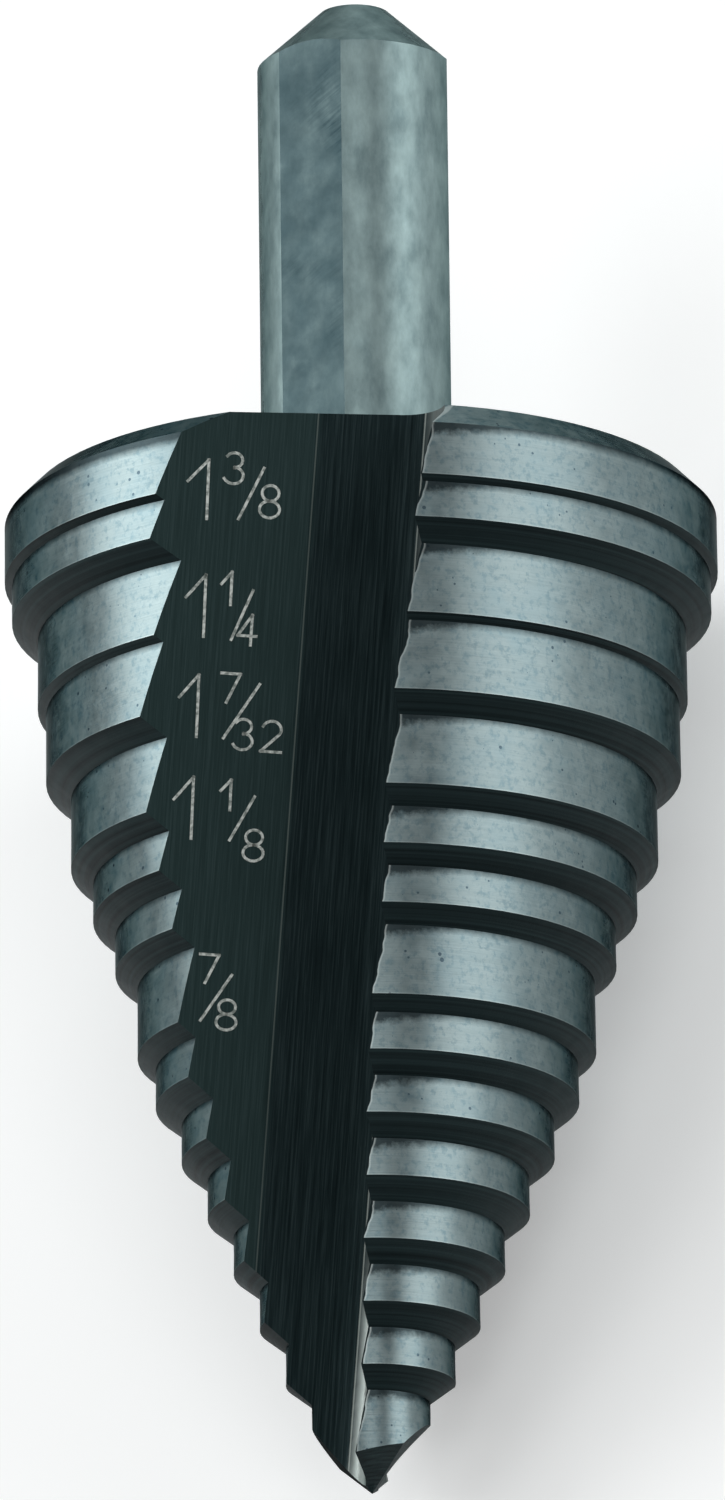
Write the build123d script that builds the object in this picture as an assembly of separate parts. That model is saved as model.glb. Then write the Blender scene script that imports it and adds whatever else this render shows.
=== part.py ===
from build123d import *
import os
from itertools import combinations
from math import cos, radians, sin, tan

# Step drill of high-speed steel, turned and ground from one bar: a three-flat
# shank, a stepped cone with fifteen cutting lands, two inclined flutes and a
# split point.  Millimetres; +Z up.

# ---- overall sizes ----
OVERALL_LENGTH = 74.4        # point to shank end
RIM_D = 34.925               # largest land, cuts a 1 3/8 in hole

# ---- diameters of the lands ----
PILOT_D = 5.7                # first land behind the point
ROUGHING_DROP = 0.70         # roughing land below the rim, on diameter
DROP_1_1_4 = 3.175           # 1 1/4 in land below the rim, on diameter
DROP_1_7_32 = 3.969          # 1 7/32 in land
DROP_1_1_8 = 6.35            # 1 1/8 in land
DROP_7_8 = 12.7              # 7/8 in land
LEAD_IN_DROP = 1.725         # last lead-in land below the 7/8 in land, on diameter
LEAD_IN_LANDS = 7            # pilot to last lead-in land
BETWEEN_LANDS = 2            # plain lands between 7/8 in and 1 1/8 in

# ---- axial sizes of the lands ----
PILOT_LENGTH = 2.99
SHORT_LAND = 1.80
HOLE_LAND = 3.40             # lands that size a hole
ROUGHING_LENGTH = 1.75
RIM_LENGTH = 2.50
BEVEL_HALF_ANGLE = 52.0      # cutting bevel between two lands, from the axis
BACK_CHAMFER = 1.35          # 45 degree edge behind the rim

# ---- relief: each half is turned on its own axis leaning from the point ----
RELIEF_LEAN = 0.25           # degrees
RELIEF_AZIMUTH = -20.0       # side the first half leans to
RELIEF_LEAD = 25.0           # cutting edge stands this far past the lean

# ---- two flutes ----
FLUTE_DEPTH = 4.85           # rim circle down to the floor
FLOOR_OFFSET = 1.61          # floor past the axis at the point
FLOOR_TILT = 5.8             # floor across the flute, degrees
HOOK_ANGLE = 21.2            # rake face leans under the cutting edge, degrees
FLUTE_SKEW = 5.1             # flute turned sideways from the axis, degrees
ROOT_RADIUS = 1.85           # where the floor meets the rake face
PARTING_AZIMUTH = -24.0      # plane through both flutes where the halves meet

# ---- split point: a cone behind each lip, a flat gash behind each cone ----
LIP_AZIMUTH = -15.0          # where the front lip meets the pilot land
LIP_HALF_ANGLE = 64.0        # lip from the axis
LIP_RELIEF = 9.3             # tilt of the cone behind the lip, degrees
RELIEF_MIDDLE = 10.0         # azimuth at which that relief is steepest
GASH_HALF_ANGLE = 41.0       # gash's steepest line, from the axis
GASH_AZIMUTH = 88.0          # side the front gash rises to

# ---- shank ----
SHANK_D = 9.525              # 3/8 in
FLAT_DEPTH = 0.32
FLAT_COUNT = 3
FLAT_AZIMUTH = -29.5         # first flat
FLAT_RUNOUT = 1.2            # flats stop this far behind the body
CROWN_LENGTH = 2.85          # tapered crown at the shank end
CROWN_HALF_ANGLE = 47.0      # its slope, from the axis
CROWN_ROUND = 0.8
NECK_RADIUS = 0.9            # hollow round where the shank leaves the body

FAR = 3 * OVERALL_LENGTH     # reach of the cutting tools


def lands():
    """Diameter and length of every land, point to rim."""
    hole_7_8 = RIM_D - DROP_7_8
    hole_1_1_8 = RIM_D - DROP_1_1_8
    lead_end = hole_7_8 - LEAD_IN_DROP
    rise = (lead_end - PILOT_D) / (LEAD_IN_LANDS - 1)
    rows = [(PILOT_D, PILOT_LENGTH)]
    rows += [(PILOT_D + i * rise, SHORT_LAND) for i in range(1, LEAD_IN_LANDS)]
    rows.append((hole_7_8, HOLE_LAND))
    gap = (hole_1_1_8 - hole_7_8) / (BETWEEN_LANDS + 1)
    rows += [(hole_7_8 + i * gap, SHORT_LAND) for i in range(1, BETWEEN_LANDS + 1)]
    rows.append((hole_1_1_8, HOLE_LAND))
    rows.append((RIM_D - DROP_1_7_32, HOLE_LAND))
    rows.append((RIM_D - DROP_1_1_4, HOLE_LAND))
    rows.append((RIM_D - ROUGHING_DROP, ROUGHING_LENGTH))
    rows.append((RIM_D, RIM_LENGTH))
    return rows


def lip_height():
    """Height above the point where the lip meets the pilot land."""
    return PILOT_D / 2 / tan(radians(LIP_HALF_ANGLE))


def land_corners():
    """Radius and height of both corners of every land, point to rim."""
    corners = []
    height = lip_height()
    radius = PILOT_D / 2
    for diameter, length in lands():
        height += (diameter / 2 - radius) / tan(radians(BEVEL_HALF_ANGLE))
        radius = diameter / 2
        corners.append((radius, height))
        height += length
        corners.append((radius, height))
    return corners


CORNERS = land_corners()
RIM_TOP = CORNERS[-1][1]               # upper corner of the rim land
BACK_FACE = RIM_TOP + BACK_CHAMFER     # flat face the shank stands on


def toward(azimuth):
    """Unit direction across the axis; azimuth 0 is -Y, 90 is +X."""
    return Vector(sin(radians(azimuth)), -cos(radians(azimuth)), 0)


def half_turn(shape):
    return shape.rotate(Axis.Z, 180)


def stepped_blank():
    """Stepped body turned about its own axis, before that axis is leant over."""
    lean = radians(RELIEF_LEAN) * cos(radians(RELIEF_LEAD))
    points = [(0, -1), (PILOT_D / 2, -1)]
    points += [(radius - lean * height, height) for radius, height in CORNERS[1:]]
    top = BACK_FACE + 2
    points += [(points[-1][0], top), (0, top)]
    outline = Wire.make_polygon([Vector(x, 0, z) for x, z in points], close=True)
    return revolve(Face(outline), Axis.Z, 360)


def tilt_up(shape, azimuth, angle):
    """Tilt about the point so that the side at that azimuth rises."""
    across = toward(azimuth)
    return shape.rotate(Axis((0, 0, 0), (-across.Y, across.X, 0)), -angle)


def lip_cone():
    """Space below the front lip: a cone tilted so that it clears behind the lip."""
    reach = RIM_D
    fall = tan(radians(LIP_RELIEF)) * sin(radians(LIP_AZIMUTH - RELIEF_MIDDLE))
    slope = 1 / tan(radians(LIP_HALF_ANGLE)) - fall
    cone = Cone(0, reach, reach * slope, align=(Align.CENTER, Align.CENTER, Align.MIN))
    block = Cylinder(reach, 2 * reach, align=(Align.CENTER, Align.CENTER, Align.MAX))
    block = block.translate((0, 0, reach * slope))
    return tilt_up(block - cone, RELIEF_MIDDLE + 90, LIP_RELIEF)


def gash():
    """Space below the flat gash behind the front lip."""
    tool = Box(FAR, FAR, FAR, align=(Align.CENTER, Align.CENTER, Align.MAX))
    return tilt_up(tool, GASH_AZIMUTH, 90 - GASH_HALF_ANGLE)


def one_half():
    """Half of the body: relieved lands, bevels and one lip."""
    body = tilt_up(stepped_blank(), RELIEF_AZIMUTH, -RELIEF_LEAN)
    side = Box(2 * FAR, FAR, 2 * FAR, align=(Align.CENTER, Align.MAX, Align.CENTER))
    side = side.rotate(Axis.Z, PARTING_AZIMUTH + 90)
    return (body & side) - lip_cone()


def back_envelope():
    """Common turned back: rim chamfer and flat back face."""
    wide = RIM_D / 2 + 1
    base = RIM_TOP - 1
    points = [(0, -1), (wide, -1), (wide, base), (wide - (BACK_FACE - base), BACK_FACE),
              (0, BACK_FACE)]
    outline = Wire.make_polygon([Vector(x, 0, z) for x, z in points], close=True)
    return revolve(Face(outline), Axis.Z, 360)


def flute_direction():
    """Path of the flute per millimetre of height."""
    rise = (RIM_D / 2 - FLUTE_DEPTH + FLOOR_OFFSET) / CORNERS[-2][1]
    return Vector(tan(radians(FLUTE_SKEW)), -rise, 1)


def flute():
    """Room of the front flute: straight tool path, rounded root."""
    tilt = tan(radians(FLOOR_TILT))
    hook = tan(radians(HOOK_ANGLE))
    root_y = FLOOR_OFFSET / (1 - tilt * hook)
    root = Vector(hook * root_y, root_y, 0)
    span = 3 * RIM_D
    far_floor = Vector(-span, FLOOR_OFFSET - tilt * span, 0)
    far_face = Vector(-hook * span, -span, 0)
    outline = Wire.make_polygon([root, far_floor, Vector(-span, -span, 0), far_face], close=True)
    with BuildSketch() as section:
        add(Face(outline))
        corner = section.vertices().sort_by_distance(root)[0]
        fillet(corner, ROOT_RADIUS)
    path = flute_direction()
    start = section.sketch.translate(path * -6)
    return extrude(start, amount=(BACK_FACE + 12) * path.length, dir=path.normalized())


def shank():
    """Round shank with a crowned end and a hollow round at its foot."""
    r = SHANK_D / 2
    foot = BACK_FACE
    crown = OVERALL_LENGTH - CROWN_LENGTH
    end = r - CROWN_LENGTH * tan(radians(CROWN_HALF_ANGLE))
    with BuildSketch(Plane.XZ) as outline:
        with BuildLine():
            Polyline((0, foot - 2), (r + NECK_RADIUS, foot - 2), (r + NECK_RADIUS, foot),
                     (r, foot + NECK_RADIUS), (r, crown), (end, OVERALL_LENGTH),
                     (0, OVERALL_LENGTH), (0, foot - 2))
        make_face()
        tip = outline.vertices().sort_by_distance((end, 0, OVERALL_LENGTH))[0]
        fillet(tip, CROWN_ROUND)
    blank = revolve(outline.sketch, Axis.Z, 360)
    length = OVERALL_LENGTH - foot
    for i in range(FLAT_COUNT):
        tool = Box(SHANK_D, SHANK_D, length, align=(Align.CENTER, Align.MAX, Align.MIN))
        tool = tool.translate((0, -(r - FLAT_DEPTH), foot + FLAT_RUNOUT))
        blank -= tool.rotate(Axis.Z, FLAT_AZIMUTH + i * 360 / FLAT_COUNT)
    return blank


def drill():
    """The whole drill standing on its point, axis on Z."""
    half = one_half()
    body = (half + half_turn(half)) & back_envelope()
    for cut in (flute(), gash()):
        body = body - cut - half_turn(cut)
    return body + shank()


def stands_over(foot, corners, normal):
    """True where the foot of the plumb line falls inside the three corners."""
    a, b, c = corners
    turns = [(q - p).cross(foot - p).dot(normal) for p, q in ((a, b), (b, c), (c, a))]
    return min(turns) > 0 or max(turns) < 0


def resting_plane(shape):
    """Outward normal of the three corners the drill lies on, rear flute down."""
    points = [v.center() for v in shape.vertices()]
    middle = shape.center()
    rear = toward(180 + PARTING_AZIMUTH)
    best = None
    for corners in combinations([p for p in points if p.dot(rear) > 0], 3):
        a, b, c = corners
        normal = (b - a).cross(c - a)
        if normal.length < 1:
            continue
        normal = normal.normalized()
        if normal.dot(rear) < 0:
            normal = normal * -1
        if normal.dot(rear) < 0.8 or any((p - a).dot(normal) > 1e-4 for p in points):
            continue
        foot = middle + normal * (a - middle).dot(normal)
        if stands_over(foot, corners, normal):
            return normal
        if best is None or normal.dot(rear) > best.dot(rear):
            best = normal
    return best


def lay_down(shape):
    """Turn the drill onto its rear flute, point to -Y, and set it on the ground."""
    normal = resting_plane(shape)
    axis_along = Vector(0, 0, 1)
    ahead = (axis_along - normal * axis_along.dot(normal)).normalized()
    side = ahead.cross(normal * -1)
    frame = Plane(origin=(0, 0, 0), x_dir=side, z_dir=normal * -1)
    laid = shape.moved(frame.location.inverse())
    box = laid.bounding_box()
    shift = Vector(-(box.min.X + box.max.X) / 2, -(box.min.Y + box.max.Y) / 2, -box.min.Z)
    return laid.translate(shift)


os.makedirs("parts", exist_ok=True)
step_drill = lay_down(drill())
export_step(step_drill, "parts/step_drill.step")
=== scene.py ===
from math import cos, pi, radians, sin, tan

import bpy
import numpy as np
from mathutils import Matrix, Vector


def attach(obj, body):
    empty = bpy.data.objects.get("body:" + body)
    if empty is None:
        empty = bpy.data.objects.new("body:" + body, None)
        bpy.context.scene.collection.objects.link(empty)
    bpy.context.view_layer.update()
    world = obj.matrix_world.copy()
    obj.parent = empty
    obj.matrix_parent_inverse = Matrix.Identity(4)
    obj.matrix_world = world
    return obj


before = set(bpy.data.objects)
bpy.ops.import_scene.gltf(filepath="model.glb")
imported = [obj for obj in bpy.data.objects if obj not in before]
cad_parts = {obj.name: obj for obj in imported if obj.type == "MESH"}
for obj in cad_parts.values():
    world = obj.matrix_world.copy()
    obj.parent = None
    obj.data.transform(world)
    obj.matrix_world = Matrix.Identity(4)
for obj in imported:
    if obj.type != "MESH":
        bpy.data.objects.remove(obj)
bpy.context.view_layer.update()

# ---- The drill ----
# One piece of high-speed steel, turned and ground from a bar and oxidised in steam.
# The lands were ground after that and are satin steel; the flutes, the bevels
# between the lands and the point keep the near-black oxide.
MM = 0.001
POINT = Vector((0.0, -36.1740, 4.4621)) * MM      # tip, where the axis starts
AXIS_RISE = radians(14.864)                       # axis above the floor
TURN = radians(21.801)                            # drill turned about its axis
LAID = Matrix.Rotation(AXIS_RISE - radians(90), 3, "X") @ Matrix.Rotation(TURN, 3, "Z")

# widths of the lands, in mm
RIM = 34.925                      # cuts a 1 3/8 in hole
HOLE_1_1_4 = RIM - 3.175
HOLE_1_7_32 = RIM - 3.969
HOLE_1_1_8 = RIM - 6.35
HOLE_7_8 = RIM - 12.7
ROUGHING = RIM - 0.70             # lead-in to the rim
LAST_LEAD_IN = HOLE_7_8 - 1.725
PILOT = 5.7                       # first land behind the point
SMALL_STEPS = 6                   # from the pilot to the last lead-in
MIDDLE_STEPS = 3                  # from the 7/8 in land to the 1 1/8 in land
# lengths along the axis, in mm
PILOT_LENGTH = 2.99
SHORT_LAND = 1.8
HOLE_LAND = 3.4                   # lands that size a hole
ROUGHING_LENGTH = 1.75
RIM_LENGTH = 2.5
BACK_FACE = 49.397                # height of the face the shank stands on
# angles from the axis
LIP_HALF_ANGLE = radians(64)
BEVEL = radians(52)
RELIEF_LEAN = radians(0.25)       # each half is turned on an axis that leans
RELIEF_AZIMUTH = radians(-20)
PARTING = radians(-24)            # plane between the two halves
# flutes
FLUTE_FALL = 0.31226              # floor moves out this much per mm of height
FLOOR_PAST_AXIS = 1.61            # mm, at the point
FLUTE_SKEW = radians(5.1)         # path of the flute over the axis
FLOOR_TILT = radians(5.8)
HOOK = radians(21.2)              # rake face leans under the cutting edge
# shank
SHANK_RADIUS = 4.7625             # mm
FLATS = 3
FIRST_FLAT = radians(-29.5)       # azimuth of the first flat, from -Y


def land_heights():
    """Lower and upper height of each land. A bevel's height is the rise in radius over
    the tangent of its angle, and a land's length is added to that."""
    widths = [PILOT + i * (LAST_LEAD_IN - PILOT) / SMALL_STEPS for i in range(SMALL_STEPS + 1)]
    widths += [HOLE_7_8 + i * (HOLE_1_1_8 - HOLE_7_8) / MIDDLE_STEPS
               for i in range(MIDDLE_STEPS + 1)]
    widths += [HOLE_1_7_32, HOLE_1_1_4, ROUGHING, RIM]
    lengths = [PILOT_LENGTH] + [SHORT_LAND] * SMALL_STEPS
    lengths += [HOLE_LAND] + [SHORT_LAND] * (MIDDLE_STEPS - 1) + [HOLE_LAND] * 3
    lengths += [ROUGHING_LENGTH, RIM_LENGTH]
    top, radius, lower, upper = PILOT / 2 / tan(LIP_HALF_ANGLE), PILOT / 2, [], []
    for width, length in zip(widths, lengths):
        lower.append(top + (width / 2 - radius) / tan(BEVEL))
        radius, top = width / 2, lower[-1] + length
        upper.append(top)
    return lower, upper


def linear(colour):
    """sRGB hex to linear RGBA: each channel through the sRGB curve."""
    c = np.array([int(colour[i:i + 2], 16) for i in (1, 3, 5)]) / 255
    c = np.where(c <= 0.04045, c / 12.92, ((c + 0.055) / 1.055) ** 2.4)
    return (*c.tolist(), 1.0)


def put(tree, kind, inputs=None, **settings):
    """Adds a node to a tree; inputs are values, sockets or nodes by name or number."""
    node = tree.nodes.new("ShaderNode" + kind)
    for key, value in settings.items():
        setattr(node, key, value)
    for key, value in (inputs or {}).items():
        if isinstance(value, bpy.types.Node):
            value = value.outputs[0]
        if isinstance(value, bpy.types.NodeSocket):
            tree.links.new(value, node.inputs[key])
        else:
            node.inputs[key].default_value = value
    return node


# Steam-oxidised high-speed steel. Ground lands: satin, grey with a blue-green cast,
# fine rings round the axis, small pits, darker towards the inner corners.
# Flutes: matt near-black with grinding lines along the flute. Shank: duller grey.
steel = bpy.data.materials.new("steam_oxidised_high_speed_steel")
steel.use_nodes = True
t = steel.node_tree
t.nodes.clear()
here = put(t, "TexCoord")
# drill coordinates in mm: z up the axis from the tip
drill = put(t, "Mapping", {"Vector": here.outputs["Object"], "Location": POINT,
            "Rotation": LAID.to_euler(), "Scale": (MM,) * 3}, vector_type="TEXTURE")
drill_xyz = put(t, "SeparateXYZ", {0: drill})
from_tip = drill_xyz.outputs["Z"]
facing = put(t, "Mapping", {"Vector": here.outputs["Normal"],
             "Rotation": LAID.transposed().to_euler()}, vector_type="VECTOR")
# the rear half is the front half given a half turn
across = put(t, "VectorMath", {0: drill, 1: (cos(PARTING), sin(PARTING), 0)},
             operation="DOT_PRODUCT")
half = put(t, "Math", {0: across.outputs["Value"]}, operation="SIGN")
turn = put(t, "CombineXYZ", {0: half, 1: half, 2: 1.0})
folded = put(t, "VectorMath", {0: drill, 1: turn}, operation="MULTIPLY")
folded_facing = put(t, "VectorMath", {0: facing, 1: turn}, operation="MULTIPLY")
facing_up = put(t, "SeparateXYZ", {0: folded_facing}).outputs["Z"]
# both walls of the front flute face this way, so a wall is folded by its own facing
OUT_OF_FLUTE = (-0.707, -0.707, 0)
flute_side = put(t, "VectorMath", {0: facing, 1: OUT_OF_FLUTE},
                 operation="DOT_PRODUCT").outputs["Value"]
flute_half = put(t, "Math", {0: flute_side}, operation="SIGN")
flute_turn = put(t, "CombineXYZ", {0: flute_half, 1: flute_half, 2: 1.0})
in_flute = put(t, "VectorMath", {0: drill, 1: flute_turn}, operation="MULTIPLY")
wall_facing = put(t, "VectorMath", {0: facing, 1: flute_turn}, operation="MULTIPLY")
# each half's own leaning axis, on which its lands are true circles
leant = put(t, "Mapping", {"Vector": folded, "Rotation": (
            -RELIEF_LEAN * cos(RELIEF_AZIMUTH), -RELIEF_LEAN * sin(RELIEF_AZIMUTH), 0)})
height = put(t, "SeparateXYZ", {0: leant}).outputs["Z"]

# distance above the lower corner and below the upper corner of the nearest land, in mm:
# each corner that is passed adds the step to the next one
CORNER_SLACK = 0.03               # so that a point on a corner counts as past it
lower, upper = land_heights()
foot, head = lower[0], upper[0]
for i in range(1, len(lower)):
    passed = put(t, "Math", {0: height, 1: lower[i] - CORNER_SLACK}, operation="GREATER_THAN")
    foot = put(t, "Math", {0: passed, 1: lower[i] - lower[i - 1], 2: foot},
               operation="MULTIPLY_ADD")
    head = put(t, "Math", {0: passed, 1: upper[i] - upper[i - 1], 2: head},
               operation="MULTIPLY_ADD")
above_foot = put(t, "Math", {0: height, 1: foot}, operation="SUBTRACT")
below_head = put(t, "Math", {0: head, 1: height}, operation="SUBTRACT")

# which surface: a land faces straight out and lies off the axis, a bevel faces down,
# the chamfer half up and the back face up. Each facing is the cosine of an angle,
# to the axis or, in FACES_OUT, to straight out.
LAND_TILT = 0.08
FACES_OUT = 0.9
CLEAR_OF_AXIS = 2.5               # mm
FACE_SLACK = 0.01                 # mm, so that the back face counts as the body's
FACES_DOWN = -0.5
FACES_UP = 0.9
CHAMFER_FACING, CHAMFER_SPREAD = 0.7, 0.15
flat_xy = put(t, "VectorMath", {0: folded, 1: (1, 1, 0)}, operation="MULTIPLY")
radius = put(t, "VectorMath", {0: flat_xy}, operation="LENGTH").outputs["Value"]
outward = put(t, "VectorMath", {0: flat_xy}, operation="NORMALIZE")
radial = put(t, "VectorMath", {0: folded_facing, 1: outward},
             operation="DOT_PRODUCT").outputs["Value"]
upright = put(t, "Math", {0: facing_up, 1: 0.0, 2: LAND_TILT}, operation="COMPARE")
out_there = put(t, "Math", {0: radial, 1: FACES_OUT}, operation="GREATER_THAN")
wide = put(t, "Math", {0: radius, 1: CLEAR_OF_AXIS}, operation="GREATER_THAN")
on_body = put(t, "Math", {0: from_tip, 1: BACK_FACE + FACE_SLACK}, operation="LESS_THAN")
land = put(t, "Math", {0: upright, 1: out_there}, operation="MULTIPLY")
land = put(t, "Math", {0: land, 1: wide}, operation="MULTIPLY")
land = put(t, "Math", {0: land, 1: on_body}, operation="MULTIPLY")
bevel = put(t, "Math", {0: facing_up, 1: FACES_DOWN}, operation="LESS_THAN")
back = put(t, "Math", {0: facing_up, 1: FACES_UP}, operation="GREATER_THAN")
back = put(t, "Math", {0: back, 1: on_body}, operation="MULTIPLY")
bevel = put(t, "Math", {0: bevel, 1: back}, operation="MAXIMUM")
chamfer = put(t, "Math", {0: facing_up, 1: CHAMFER_FACING, 2: CHAMFER_SPREAD},
              operation="COMPARE")
chamfer = put(t, "Math", {0: chamfer, 1: on_body}, operation="MULTIPLY")
shank = put(t, "Math", {0: 1.0, 1: on_body}, operation="SUBTRACT")

# distance from the cutting edge, in mm; the heel's side of a land counts as far off
FAR_OFF = 50.0
rake = Vector((1, -tan(HOOK), -(tan(FLUTE_SKEW) + tan(HOOK) * FLUTE_FALL))).normalized()
from_rake = put(t, "VectorMath", {0: folded, 1: rake}, operation="DOT_PRODUCT").outputs["Value"]
from_edge = put(t, "Math", {0: from_rake}, operation="ABSOLUTE")
heel_side = put(t, "Math", {0: put(t, "SeparateXYZ", {0: folded}).outputs["Y"], 1: 0.0},
                operation="GREATER_THAN")
from_edge = put(t, "Math", {0: heel_side, 1: FAR_OFF, 2: from_edge}, operation="MULTIPLY_ADD")
# small chips along the cutting edge, where the land's grinding is broken away.
# A MapRange takes inputs 1 and 2 to inputs 3 and 4, which are 0 and 1 unless given.
CHIP_LENGTH = 1 / 0.7             # mm, about
CHIP_DEPTH = 0.16                 # mm, at most
along_edge = put(t, "CombineXYZ", {2: height})
chip_noise = put(t, "TexNoise", {"Vector": along_edge, "Scale": 1 / CHIP_LENGTH,
                 "Detail": 2.0, "Roughness": 0.45})
chip_depth = put(t, "MapRange", {0: chip_noise, 1: 0.4, 2: 0.7, 4: CHIP_DEPTH})
from_chip = put(t, "Math", {0: from_edge, 1: chip_depth}, operation="SUBTRACT")
chipped = put(t, "MapRange", {0: from_chip, 1: 0.02, 2: -0.01})
chipped = put(t, "Math", {0: chipped, 1: land}, operation="MULTIPLY")

# place across, out of and along the flute's floor, in mm
path = Vector((tan(FLUTE_SKEW), -FLUTE_FALL, 1)).normalized()
floor_out = path.cross(Vector((1, tan(FLOOR_TILT), 0))).normalized()
floor_across = floor_out.cross(path).normalized()
floor_out = floor_out if floor_out.y < 0 else -floor_out
floor_across = floor_across if floor_across.x > 0 else -floor_across
past = put(t, "VectorMath", {0: in_flute, 1: (0, FLOOR_PAST_AXIS, 0)}, operation="SUBTRACT")
f_across = put(t, "VectorMath", {0: past, 1: floor_across},
               operation="DOT_PRODUCT").outputs["Value"]
f_along = put(t, "VectorMath", {0: past, 1: path}, operation="DOT_PRODUCT").outputs["Value"]
f_out = put(t, "VectorMath", {0: past, 1: floor_out}, operation="DOT_PRODUCT").outputs["Value"]

# flute: grinding lines run along it, fifty times as long as they are wide
GRINDING_LINE = 1 / 9             # mm between lines
SCRATCH_NOISE = 1 / 1.3           # mm across, by which a long scratch is strong or weak
ALONG_FLUTE = 0.02
lines = put(t, "CombineXYZ", {0: f_across, 1: f_out, 2: f_along})
stretched = put(t, "VectorMath", {0: lines, 1: (1.0, 1.0, ALONG_FLUTE)}, operation="MULTIPLY")
fine = put(t, "TexNoise", {"Vector": stretched, "Scale": 1 / GRINDING_LINE, "Detail": 4.0,
           "Roughness": 0.7})
broad = put(t, "TexNoise", {"Vector": stretched, "Scale": 1 / SCRATCH_NOISE, "Detail": 2.0})
flute_tone = put(t, "ValToRGB", {0: fine})
flute_tone.color_ramp.elements[0].position = 0.35
flute_tone.color_ramp.elements[0].color = linear("#162123")
flute_tone.color_ramp.elements[1].position = 0.72
flute_tone.color_ramp.elements[1].color = linear("#364446")
middle = flute_tone.color_ramp.elements.new(0.5)
middle.color = linear("#212e30")
# the side away from the cutting edge, past one long scratch, is a little greener and lighter:
# painted light for where the wall curves up towards the heel.
# A colour Mix takes its factor at 0 and its colours at 6 and 7, and gives output 2.
GREENER_FROM, GREENER_TO = -6.1, -6.6        # mm across the floor
SCRATCH_AT, SCRATCH_HALF = -6.36, 0.035
heel_curve_light = put(t, "MapRange", {0: f_across, 1: GREENER_FROM, 2: GREENER_TO, 4: 0.3})
flute_colour = put(t, "Mix", {0: heel_curve_light, 6: flute_tone, 7: linear("#3f5553")},
                   data_type="RGBA").outputs[2]
scratch = put(t, "Math", {0: f_across, 1: SCRATCH_AT, 2: SCRATCH_HALF}, operation="COMPARE")
scratch = put(t, "Math", {0: scratch, 1: broad}, operation="MULTIPLY")
flute_colour = put(t, "Mix", {0: scratch, 6: flute_colour, 7: linear("#737f7b")},
                   data_type="RGBA").outputs[2]
# painted highlight: a pale line where the floor turns up to the rake face, for the glint off
# that curve
ROOT_AT, ROOT_HALF = -1.28, 0.03
root_highlight = put(t, "Math", {0: f_across, 1: ROOT_AT, 2: ROOT_HALF}, operation="COMPARE")
root_highlight = put(t, "Math", {0: root_highlight, 1: broad}, operation="MULTIPLY")
flute_colour = put(t, "Mix", {0: root_highlight, 6: flute_colour, 7: linear("#b4bdb8")},
                   data_type="RGBA").outputs[2]
# the rake face faces sideways and is bare steel near the point, on the front flute
# most of all: the rear one kept its oxide. Its pale colour is also a painted highlight on that
# face.
BARE_BELOW, DULL_ABOVE = 8.0, 11.0           # mm up the axis
wall_x = put(t, "SeparateXYZ", {0: wall_facing}).outputs["X"]
sideways = put(t, "MapRange", {0: wall_x, 1: -0.45, 2: -0.75})
low_down = put(t, "MapRange", {0: from_tip, 1: DULL_ABOVE, 2: BARE_BELOW, 3: 0.25})
in_front = put(t, "MapRange", {0: flute_side, 1: -0.1, 2: 0.1, 3: 0.15})
rake_bare_and_highlight = put(t, "Math", {0: sideways, 1: low_down}, operation="MULTIPLY")
rake_bare_and_highlight = put(t, "Math", {0: rake_bare_and_highlight, 1: in_front}, operation="MULTIPLY")
flute_colour = put(t, "Mix", {0: rake_bare_and_highlight, 6: flute_colour, 7: linear("#aab4b1")},
                   data_type="RGBA").outputs[2]

# bevels, point and back face: dark oxide, a touch lighter in turning rings
TURNING_RING = 1 / 5              # mm
rings = put(t, "CombineXYZ", {0: radius, 1: height})
ring_noise = put(t, "TexNoise", {"Vector": rings, "Scale": 1 / TURNING_RING, "Detail": 3.0})
bevel_tone = put(t, "ValToRGB", {0: ring_noise})
bevel_tone.color_ramp.elements[0].position = 0.3
bevel_tone.color_ramp.elements[0].color = linear("#121b1d")
bevel_tone.color_ramp.elements[1].position = 0.8
bevel_tone.color_ramp.elements[1].color = linear("#2c3c3e")

# lands: grinding rings round the axis, on grey that is mottled over a millimetre,
# blotched blue-green over two or three and speckled over a third of one
ROUND_AXIS, ALONG_AXIS = 0.12, 6.0           # the noise is squeezed along the axis
RING_NOISE = 2.2                  # rings 1 / (6 x 2.2) mm apart, coarser than real ones
MOTTLE, BLOTCH, SPECKLE = 1 / 0.9, 1 / 0.4, 1 / 3    # mm
ring_place = put(t, "VectorMath", {0: leant, 1: (
                 ROUND_AXIS, ROUND_AXIS, ALONG_AXIS)}, operation="MULTIPLY")
rings_fine = put(t, "TexNoise", {"Vector": ring_place, "Scale": RING_NOISE, "Detail": 3.0,
                 "Roughness": 0.6})
mottle = put(t, "TexNoise", {"Vector": drill, "Scale": 1 / MOTTLE, "Detail": 5.0,
             "Roughness": 0.62})
land_tone = put(t, "ValToRGB", {0: mottle})
land_tone.color_ramp.elements[0].position = 0.3
land_tone.color_ramp.elements[0].color = linear("#6c7a7c")
land_tone.color_ramp.elements[1].position = 0.7
land_tone.color_ramp.elements[1].color = linear("#7f8d8e")
blotch = put(t, "TexNoise", {"Vector": drill, "Scale": 1 / BLOTCH, "Detail": 4.0,
             "Roughness": 0.6})
blotch = put(t, "MapRange", {0: blotch, 1: 0.45, 2: 0.62, 4: 0.28})
land_colour = put(t, "Mix", {0: blotch, 6: land_tone, 7: linear("#697e84")},
                  data_type="RGBA").outputs[2]
ring_shade = put(t, "MapRange", {0: rings_fine, 1: 0.35, 2: 0.65, 4: 0.2})
land_colour = put(t, "Mix", {0: ring_shade, 6: land_colour, 7: linear("#566769")},
                  data_type="RGBA").outputs[2]
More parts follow.
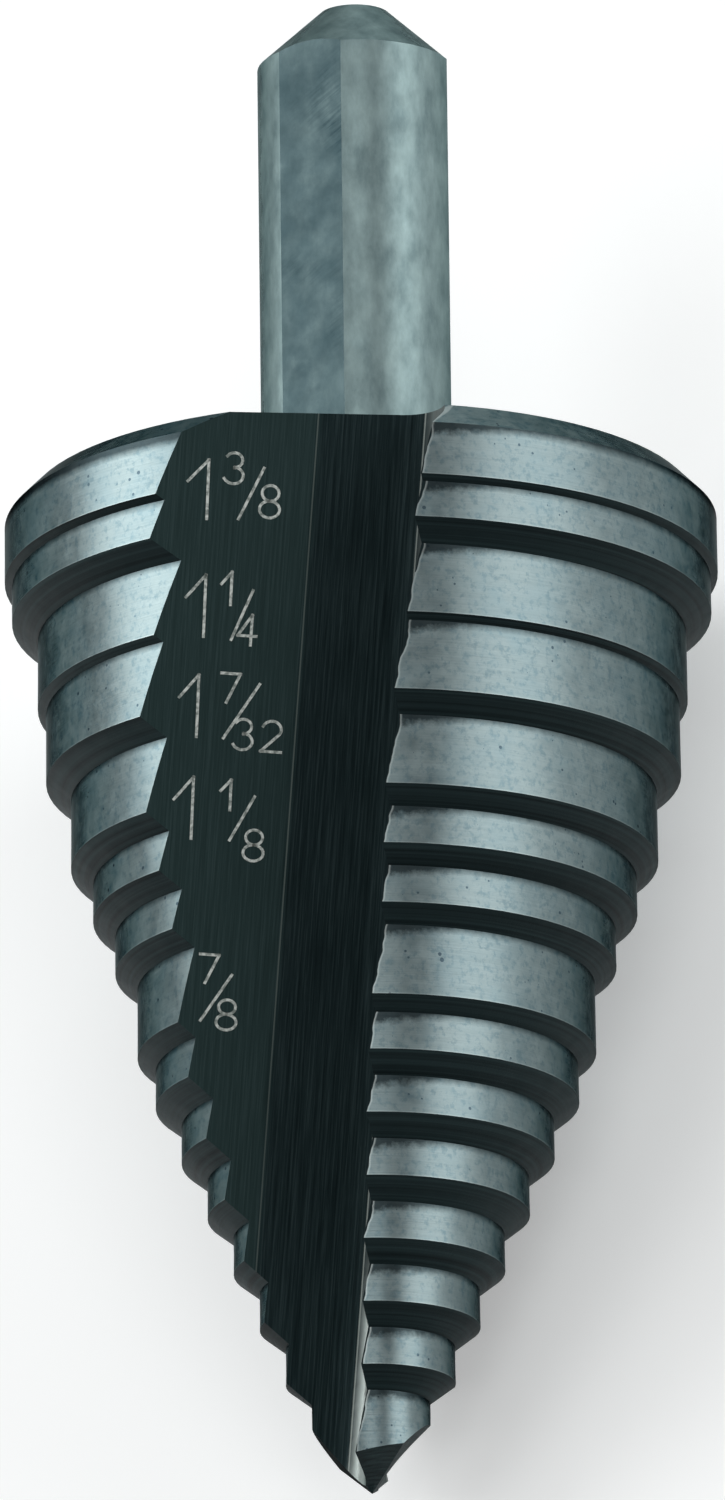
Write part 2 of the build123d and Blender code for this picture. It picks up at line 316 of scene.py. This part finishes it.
# pits, at most 0.24 mm across, where a slow noise lets them
PIT_SPACING = 1 / 1.7             # mm
PIT_CLUSTER = 1 / 0.8             # mm
PIT_RADIUS = 0.2                  # at most, as a share of the spacing
pits = put(t, "TexVoronoi", {"Vector": drill, "Scale": 1 / PIT_SPACING, "Randomness": 1.0})
pit_size = put(t, "TexNoise", {"Vector": drill, "Scale": 1 / PIT_CLUSTER, "Detail": 2.0})
pit_size = put(t, "MapRange", {0: pit_size, 1: 0.42, 2: 0.75, 4: PIT_RADIUS})
pit = put(t, "Math", {0: pits.outputs["Distance"], 1: pit_size}, operation="LESS_THAN")
land_colour = put(t, "Mix", {0: pit, 6: land_colour, 7: linear("#43525a")},
                  data_type="RGBA").outputs[2]
speckle = put(t, "TexNoise", {"Vector": drill, "Scale": 1 / SPECKLE, "Detail": 4.0,
              "Roughness": 0.65})
speckle = put(t, "MapRange", {0: speckle, 1: 0.5, 2: 0.66, 4: 0.55})
land_colour = put(t, "Mix", {0: speckle, 6: land_colour, 7: linear("#4f666e")},
                  data_type="RGBA").outputs[2]
# darker towards the inner corner above each land, wider near the cutting edge
CORNER_GRAIN = 1 / 2.4            # mm
CORNER_REACH = 1.8                # mm, times the noise and the share near_edge gives
CORNER_FADES_BY = 3.0             # mm from the cutting edge
corner_noise = put(t, "TexNoise", {"Vector": drill, "Scale": 1 / CORNER_GRAIN,
                   "Detail": 4.0, "Roughness": 0.7})
near_edge = put(t, "MapRange", {0: from_edge, 1: 0.0, 2: CORNER_FADES_BY, 3: 0.55, 4: 0.12})
reach = put(t, "Math", {0: corner_noise, 1: near_edge}, operation="MULTIPLY")
reach = put(t, "Math", {0: reach, 1: CORNER_REACH}, operation="MULTIPLY")
corner_darkening = put(t, "Math", {0: reach, 1: below_head}, operation="SUBTRACT")
corner_darkening = put(t, "MapRange", {0: corner_darkening, 1: -0.22, 2: 0.18, 4: 0.9})
corner_darkening = put(t, "Math", {0: corner_darkening, 1: land}, operation="MULTIPLY")
land_colour = put(t, "Mix", {0: corner_darkening, 6: land_colour, 7: linear("#222b2e")},
                  data_type="RGBA").outputs[2]
# bright line along the lower corner and the cutting edge: the edges are worn round, and their
# pale colour is a painted highlight of the light they catch; then the dark chips
low_corner_highlight = put(t, "MapRange", {0: above_foot, 1: 0.07, 2: 0.02, 4: 0.15})
cutting_edge_highlight = put(t, "MapRange", {0: from_chip, 1: 0.1, 2: 0.03, 4: 0.35})
worn_edge_and_highlight = put(t, "Math", {0: low_corner_highlight, 1: cutting_edge_highlight}, operation="MAXIMUM")
land_colour = put(t, "Mix", {0: worn_edge_and_highlight, 6: land_colour, 7: linear("#cdd6d4")},
                  data_type="RGBA").outputs[2]
land_colour = put(t, "Mix", {0: chipped, 6: land_colour, 7: linear("#1d282a")},
                  data_type="RGBA").outputs[2]

# shank: dull grey-green, clouded over a millimetre and drawn out along the axis
CLOUDING = 1.0                    # mm
ALONG_SHANK = 0.45
drawn = put(t, "VectorMath", {0: drill, 1: (1.0, 1.0, ALONG_SHANK)}, operation="MULTIPLY")
shank_noise = put(t, "TexNoise", {"Vector": drawn, "Scale": 1 / CLOUDING, "Detail": 6.0,
                  "Roughness": 0.65})
shank_tone = put(t, "ValToRGB", {0: shank_noise})
shank_tone.color_ramp.elements[0].position = 0.3
shank_tone.color_ramp.elements[0].color = linear("#65787a")
shank_tone.color_ramp.elements[1].position = 0.72
shank_tone.color_ramp.elements[1].color = linear("#8b9f9f")
# its flats are the faces turned squarely to one of three azimuths
ON_FLAT = 0.985                   # cosine
on_flat = 0.0
for i in range(FLATS):
    azimuth = FIRST_FLAT + 2 * pi / FLATS * i
    faces_it = put(t, "VectorMath", {0: facing, 1: (sin(azimuth), -cos(azimuth), 0)},
                   operation="DOT_PRODUCT").outputs["Value"]
    faces_it = put(t, "Math", {0: faces_it, 1: ON_FLAT}, operation="GREATER_THAN")
    on_flat = put(t, "Math", {0: faces_it, 1: on_flat}, operation="MAXIMUM")
# flats: darker, in soft patches, with milling lines in places that slant up round the
# shank; the lines' place is the height plus a share of the way round
MILLING_LINE = 1 / 6              # mm
MILLED_AREA = 1 / 0.16            # mm
PATCH = 1 / 0.55                  # mm
SLANT = 0.6
ALONG_LINE = 0.12
around = put(t, "Math", {0: drill_xyz.outputs["X"], 1: drill_xyz.outputs["Y"]},
             operation="ARCTAN2")
around = put(t, "Math", {0: around, 1: SHANK_RADIUS}, operation="MULTIPLY")
slant = put(t, "Math", {0: around, 1: SLANT, 2: from_tip}, operation="MULTIPLY_ADD")
along_line = put(t, "Math", {0: around, 1: ALONG_LINE}, operation="MULTIPLY")
hatch_place = put(t, "CombineXYZ", {0: slant, 1: along_line})
hatch = put(t, "TexNoise", {"Vector": hatch_place, "Scale": 1 / MILLING_LINE, "Detail": 2.0})
hatch = put(t, "MapRange", {0: hatch, 1: 0.42, 2: 0.6, 4: 0.12})
hatched = put(t, "TexNoise", {"Vector": drill, "Scale": 1 / MILLED_AREA, "Detail": 3.0})
hatched = put(t, "MapRange", {0: hatched, 1: 0.47, 2: 0.58})
hatch = put(t, "Math", {0: hatch, 1: hatched}, operation="MULTIPLY")
patches = put(t, "TexNoise", {"Vector": drill, "Scale": 1 / PATCH, "Detail": 5.0,
              "Roughness": 0.6})
patches = put(t, "MapRange", {0: patches, 1: 0.35, 2: 0.65, 3: 0.68, 4: 0.9})
flat_mix = put(t, "Math", {0: patches, 1: hatch}, operation="ADD")
flat_mix = put(t, "Math", {0: flat_mix, 1: on_flat}, operation="MULTIPLY")
shank_colour = put(t, "Mix", {0: flat_mix, 6: shank_tone, 7: linear("#33454a")},
                   data_type="RGBA").outputs[2]

# the surfaces' colours, one over the other
colour = flute_colour
for where, tone in ((bevel, bevel_tone), (land, land_colour), (chamfer, land_colour),
                    (shank, shank_colour)):
    colour = put(t, "Mix", {0: where, 6: colour, 7: tone}, data_type="RGBA").outputs[2]

# bare steel is metallic and satin, oxide is neither; the shank is in between
OXIDE_ROUGH, GROUND_ROUGH = 0.62, 0.34
SHANK_ROUGHER = 0.09
SHANK_LESS_METAL = -0.12
whole = put(t, "Math", {0: land, 1: chipped}, operation="SUBTRACT")
ground = put(t, "Math", {0: whole, 1: chamfer}, operation="MAXIMUM")
bare = put(t, "Math", {0: ground, 1: shank}, operation="MAXIMUM")
bare = put(t, "Math", {0: bare, 1: rake_bare_and_highlight}, operation="MAXIMUM")
metal = put(t, "Math", {0: shank, 1: SHANK_LESS_METAL, 2: bare}, operation="MULTIPLY_ADD")
rough_noise = put(t, "MapRange", {0: mottle, 1: 0.3, 2: 0.7, 3: -0.04, 4: 0.05})
rough = put(t, "MapRange", {0: bare, 3: OXIDE_ROUGH, 4: GROUND_ROUGH})
rough = put(t, "Math", {0: rough, 1: rough_noise}, operation="ADD")
rough = put(t, "Math", {0: shank, 1: SHANK_ROUGHER, 2: rough}, operation="MULTIPLY_ADD")

# grinding lines stand up a little in the flutes, and rings on the lands
LINE_HEIGHT = 0.04                # mm, before the Strength takes a quarter of it
flute_only = put(t, "Math", {0: 1.0, 1: bare}, operation="SUBTRACT")
relief = put(t, "Math", {0: fine, 1: flute_only}, operation="MULTIPLY")
relief = put(t, "Math", {0: rings_fine, 1: ground, 2: relief}, operation="MULTIPLY_ADD")
bump = put(t, "Bump", {"Strength": 0.25, "Distance": LINE_HEIGHT * MM, "Height": relief})
shader = put(t, "BsdfPrincipled", {"Base Color": colour, "Metallic": metal,
             "Roughness": rough, "Normal": bump, "Specular IOR Level": 0.25,
             "Specular Tint": linear("#4c5454")})
put(t, "OutputMaterial", {"Surface": shader})
drill_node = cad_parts["step_drill"]
drill_node.data.materials.clear()
drill_node.data.materials.append(steel)

# ---- Size marks ----
# The hole sizes of the marked lands, in inches, cut by a laser into the front
# flute's wall. The strokes are 0.135 mm wide, pale and slightly rough.
STROKE = 0.135                    # mm
PROUD, SUNK = 0.012, 0.01         # mm above and below the wall
SHARP = 0.6                       # cosine of a stroke's turn that counts as a corner


def arc(cx, cy, rx, ry, start, end, count=14):
    """Points of an ellipse's arc: centre plus radii times the cosine and sine of the angle."""
    a = np.radians(np.linspace(start, end, count))
    return np.stack([cx + rx * np.cos(a), cy + ry * np.sin(a)], 1)


# strokes of each numeral in a cell one wide and one high; I is a fraction's narrow 1
STROKES = {
    "1": [np.array([(0.0, 0.62), (0.86, 1.0), (0.95, 0.0)])],
    "I": [np.array([(0.0, 0.62), (0.8, 1.0), (0.86, 0.0)])],
    "2": [np.vstack([arc(0.5, 0.72, 0.46, 0.28, 160, -25), [(0.02, 0.0), (1.0, 0.0)]])],
    "3": [np.vstack([arc(0.46, 0.76, 0.42, 0.24, 150, -85, 12),
                     arc(0.46, 0.27, 0.5, 0.27, 85, -155, 14)])],
    "4": [np.array([(1.0, 0.3), (0.0, 0.3), (0.72, 1.0), (0.72, 0.0)])],
    "7": [np.array([(0.0, 1.0), (1.0, 1.0), (0.35, 0.0)])],
    "8": [arc(0.5, 0.76, 0.42, 0.24, -90, 270, 20), arc(0.5, 0.26, 0.5, 0.26, 90, 450, 20)],
    "/": [np.array([(0.0, 0.0), (1.0, 1.0)])],
}
# numeral, left side, foot, width and height on the flute floor, in mm
MARKS = [
    ("1", -12.36, 46.20, 1.08, 2.80), ("3", -10.65, 47.95, 0.95, 1.48),
    ("/", -9.82, 46.30, 1.05, 2.50), ("8", -8.86, 46.45, 0.97, 1.55),
    ("1", -12.05, 40.60, 1.02, 2.92), ("I", -10.40, 42.20, 0.58, 1.55),
    ("/", -9.75, 40.55, 0.88, 2.40), ("4", -9.45, 40.35, 0.88, 1.42),
    ("1", -12.02, 35.82, 1.00, 2.94), ("7", -10.08, 37.55, 0.90, 1.38),
    ("/", -9.78, 35.85, 1.55, 2.66), ("3", -9.30, 35.35, 0.95, 1.46),
    ("2", -7.98, 35.35, 0.98, 1.46),
    ("1", -11.92, 30.96, 1.00, 2.93), ("I", -9.72, 32.45, 0.58, 1.43),
    ("/", -9.13, 31.02, 1.05, 2.14), ("8", -8.45, 30.10, 0.97, 1.48),
    ("7", -10.12, 24.16, 0.90, 1.35), ("/", -9.89, 22.36, 1.34, 2.25),
    ("8", -9.15, 21.98, 0.97, 1.44),
]


def ribbon(points):
    """A closed flat bar along points: at each point the two sides stand half a stroke off
    along the mean normal of its neighbours, at the wall and just above it."""
    ahead = np.gradient(points, axis=0)
    ahead /= np.linalg.norm(ahead, axis=1)[:, None]
    side = np.stack([-ahead[:, 1], ahead[:, 0]], 1) * STROKE / 2
    n = len(points)
    ends = np.zeros((n, 1))
    ends[0], ends[-1] = -1, 1
    centre = points + ahead * ends * STROKE / 2
    left, right = centre + side, centre - side
    low, high = np.full((n, 1), -SUNK), np.full((n, 1), PROUD)
    verts = np.stack([np.hstack([left, low]), np.hstack([right, low]),
                      np.hstack([right, high]), np.hstack([left, high])], 1).reshape(-1, 3)
    k = np.arange(n - 1)[:, None] * 4
    quads = [k + np.array([[a, b, b + 4, a + 4]]) for a, b in ((0, 1), (1, 2), (2, 3), (3, 0))]
    caps = np.array([[3, 2, 1, 0], [4 * n - 4, 4 * n - 3, 4 * n - 2, 4 * n - 1]])
    return verts, np.vstack([*quads, caps])


def split_corners(points):
    """Cuts a stroke at its sharp corners, where the dot product of the two directions is
    small, so that each bar runs straight or smooth."""
    step = np.diff(points, axis=0)
    step /= np.linalg.norm(step, axis=1)[:, None]
    sharp = np.flatnonzero((step[1:] * step[:-1]).sum(1) < SHARP) + 1
    return [points[a:b + 1] for a, b in zip([0, *sharp], [*sharp, len(points) - 1])]


verts, faces, count = [], [], 0
for numeral, left, low, width, high in MARKS:
    for stroke in STROKES[numeral]:
        for run in split_corners(stroke * (width, high) + (left, low)):
            v, q = ribbon(run)
            verts.append(v)
            faces.append(q + count)
            count += len(v)
flat = np.vstack(verts)
wall = np.array([floor_across, path, floor_out])
on_drill = np.array([0, FLOOR_PAST_AXIS, 0]) + flat @ wall
placed = np.array(POINT) + (on_drill @ np.array(LAID).T) * MM
mesh = bpy.data.meshes.new("size_marks")
mesh.from_pydata(placed.tolist(), [], np.vstack(faces).tolist())
mesh.update()
size_marks = bpy.data.objects.new("size_marks", mesh)
bpy.context.scene.collection.objects.link(size_marks)

# Laser-marked steel: the beam lifts the oxide, so the stroke is pale, grainy metal.
GRAIN = 1 / 4.5                   # mm
marked = bpy.data.materials.new("laser_marked_steel")
marked.use_nodes = True
t = marked.node_tree
t.nodes.clear()
here = put(t, "TexCoord")
grain = put(t, "TexNoise", {"Vector": here.outputs["Object"], "Scale": 1 / (GRAIN * MM),
            "Detail": 3.0})
tone = put(t, "ValToRGB", {0: grain})
tone.color_ramp.elements[0].position = 0.36
tone.color_ramp.elements[0].color = linear("#87918c")
tone.color_ramp.elements[1].position = 0.6
tone.color_ramp.elements[1].color = linear("#dfe5e0")
shader = put(t, "BsdfPrincipled", {"Base Color": tone, "Metallic": 0.4, "Roughness": 0.6})
put(t, "OutputMaterial", {"Surface": shader})
mesh.materials.append(marked)
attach(size_marks, "root")

# ---- Floor ----
# A plain pale table top under the drill, a flat disc far wider than the drill is long.
# It shows as near white, also in the steel, and keeps the shadow.
TABLE_RADIUS = 6                  # m
LIFT = 0.28                       # glow of the paper as it is seen, not on what it lights
bpy.ops.mesh.primitive_circle_add(vertices=96, radius=TABLE_RADIUS, fill_type="NGON",
                                  location=(0, 0, 0))
table = bpy.context.object
table.name = "table"
# White paper: matt, and a little lifted in what the camera, gloss or glass sees of it.
paper = bpy.data.materials.new("white_paper")
paper.use_nodes = True
t = paper.node_tree
t.nodes.clear()
diffuse = put(t, "BsdfDiffuse", {"Color": linear("#f2f4f4")})
seen = put(t, "LightPath")
shown = seen.outputs["Is Camera Ray"]
for ray in ("Is Glossy Ray", "Is Transmission Ray"):
    shown = put(t, "Math", {0: shown, 1: seen.outputs[ray]}, operation="MAXIMUM")
lift = put(t, "Math", {0: shown, 1: LIFT}, operation="MULTIPLY")
glow = put(t, "Emission", {"Color": linear("#ffffff"), "Strength": lift})
both = put(t, "AddShader", {0: diffuse, 1: glow})
put(t, "OutputMaterial", {"Surface": both})
table.data.materials.append(paper)

# ---- Light ----
# A soft box on each side lights the lands; weaker ones stand in front, behind and
# above, in a plain grey room.
ROOM_LIGHT = 0.17
DRILL_MIDDLE = Vector((0, 0, 0.015))         # m, about
world = bpy.data.worlds.new("grey_room")
world.use_nodes = True
room = world.node_tree.nodes["Background"]
room.inputs["Color"].default_value = linear("#ffffff")
room.inputs["Strength"].default_value = ROOM_LIGHT
bpy.context.scene.world = world


def soft_box(name, towards, distance, size, radiance):
    """Square lamp that faces the drill's middle; power is pi times area times radiance."""
    data = bpy.data.lights.new(name, "AREA")
    data.shape = "SQUARE"
    data.size = size
    data.energy = pi * size * size * radiance
    lamp = bpy.data.objects.new(name, data)
    bpy.context.scene.collection.objects.link(lamp)
    direction = Vector(towards).normalized()
    lamp.location = DRILL_MIDDLE + direction * distance
    lamp.rotation_mode = "QUATERNION"
    lamp.rotation_quaternion = direction.to_track_quat("Z", "Y")


# name, direction from the drill, distance and side in m, radiance
soft_box("right_box", LAID @ Vector((0.784, -0.549, 0.29)), 0.7, 0.44, 2.8)
soft_box("left_box", LAID @ Vector((-0.942, -0.166, 0.29)), 0.7, 0.40, 4.6)
soft_box("front_box", LAID @ Vector((0.0, -0.957, 0.29)), 0.7, 0.32, 2.2)
soft_box("top_box", (-0.45, -0.1, 0.9), 0.9, 0.6, 1.6)
soft_box("back_box", (0.1, 0.95, 0.27), 0.8, 0.44, 1.6)

# ---- Camera ----
# Looks at the side with the front flute, from beyond the point and 17 degrees off
# square to the axis, with a long lens.
AIM = Vector((-0.036, 0, 37.02))       # mm, on the drill's axis or nearly
AWAY = 948.9                           # mm
LOOK_UP = radians(16.944)
ROLL = radians(-0.690)
FOCAL_LENGTH, SENSOR_HEIGHT = 473.04, 36.0   # mm
NEAR, FAR = 0.01, 50.0                 # m, what the camera can see
forward = Vector((0, cos(LOOK_UP), sin(LOOK_UP)))
right, up = Vector((1, 0, 0)), Vector((0, -sin(LOOK_UP), cos(LOOK_UP)))
right, up = right * cos(ROLL) + up * sin(ROLL), up * cos(ROLL) - right * sin(ROLL)
lens = bpy.data.cameras.new("camera")
lens.sensor_fit = "VERTICAL"
lens.sensor_height = SENSOR_HEIGHT
lens.lens = FOCAL_LENGTH
lens.clip_start, lens.clip_end = NEAR, FAR
camera = bpy.data.objects.new("camera", lens)
bpy.context.scene.collection.objects.link(camera)
axes = Matrix((LAID @ right, LAID @ up, LAID @ -forward)).transposed().to_4x4()
camera.matrix_world = Matrix.Translation(POINT + LAID @ ((AIM - forward * AWAY) * MM)) @ axes
bpy.context.scene.camera = camera
bpy.context.scene.view_settings.view_transform = "Standard"
